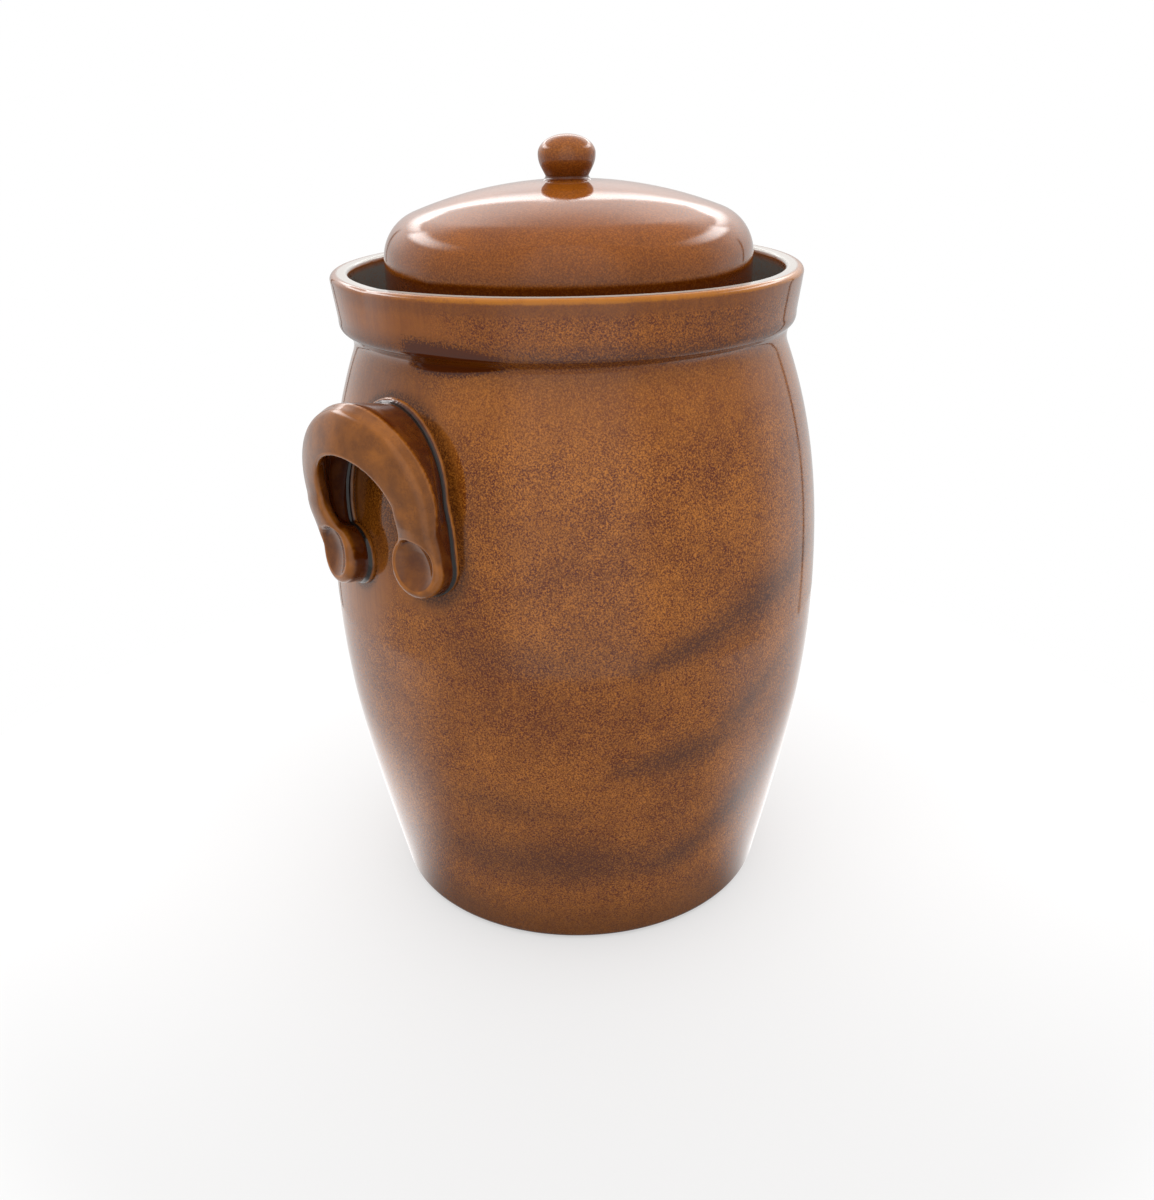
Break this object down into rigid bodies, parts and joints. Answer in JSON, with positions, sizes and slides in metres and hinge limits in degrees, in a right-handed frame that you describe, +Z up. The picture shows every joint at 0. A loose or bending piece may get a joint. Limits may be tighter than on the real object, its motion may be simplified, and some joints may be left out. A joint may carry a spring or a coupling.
{
  "type": "fermentation crock",
  "caption": "Brown glazed stoneware crock with a water channel round the mouth, a domed lid with a knob, horseshoe handles and half-moon weight stones inside.",
  "frame": {"origin": "centre of the flat base, on the surface that the crock stands on", "axes": "+Z up along the crock's axis, handles on the X axis with the visible one on -X, +Y across the handles"},
  "size_m": [0.2924, 0.2524, 0.387],
  "materials": {
    "body_glaze": "glossy orange-brown glaze with fine dark speckle",
    "channel_glaze": "glossy dark grey-brown glaze, pooled",
    "rim_glaze": "glossy orange-brown glaze, lighter where it breaks on the lip",
    "handle_glaze": "glossy dark brown glaze, orange on its edges",
    "lid_glaze": "glossy red-brown glaze with faint speckle",
    "bare_stoneware": "unglazed buff stoneware"
  },
  "bodies": {
    "crock": {"crock_body": "body_glaze", "mouth_collar": "channel_glaze", "gutter_ring": "rim_glaze", "handle_left": "handle_glaze", "handle_right": "handle_glaze"},
    "lid": {"lid": "lid_glaze", "lid_knob": "lid_glaze"},
    "stone_left": {"weight_stone_left": "bare_stoneware"},
    "stone_right": {"weight_stone_right": "bare_stoneware"}
  },
  "joints": [
    {"name": "lid_lift", "type": "slide", "parent": "crock", "child": "lid", "axis": [0, 0, 1], "range_m": [0, 0.12]},
    {"name": "stone_left_lift", "type": "slide", "parent": "crock", "child": "stone_left", "axis": [0, 0, 1], "range_m": [0, 0.22]},
    {"name": "stone_right_lift", "type": "slide", "parent": "crock", "child": "stone_right", "axis": [0, 0, 1], "range_m": [0, 0.22]}
  ]
}
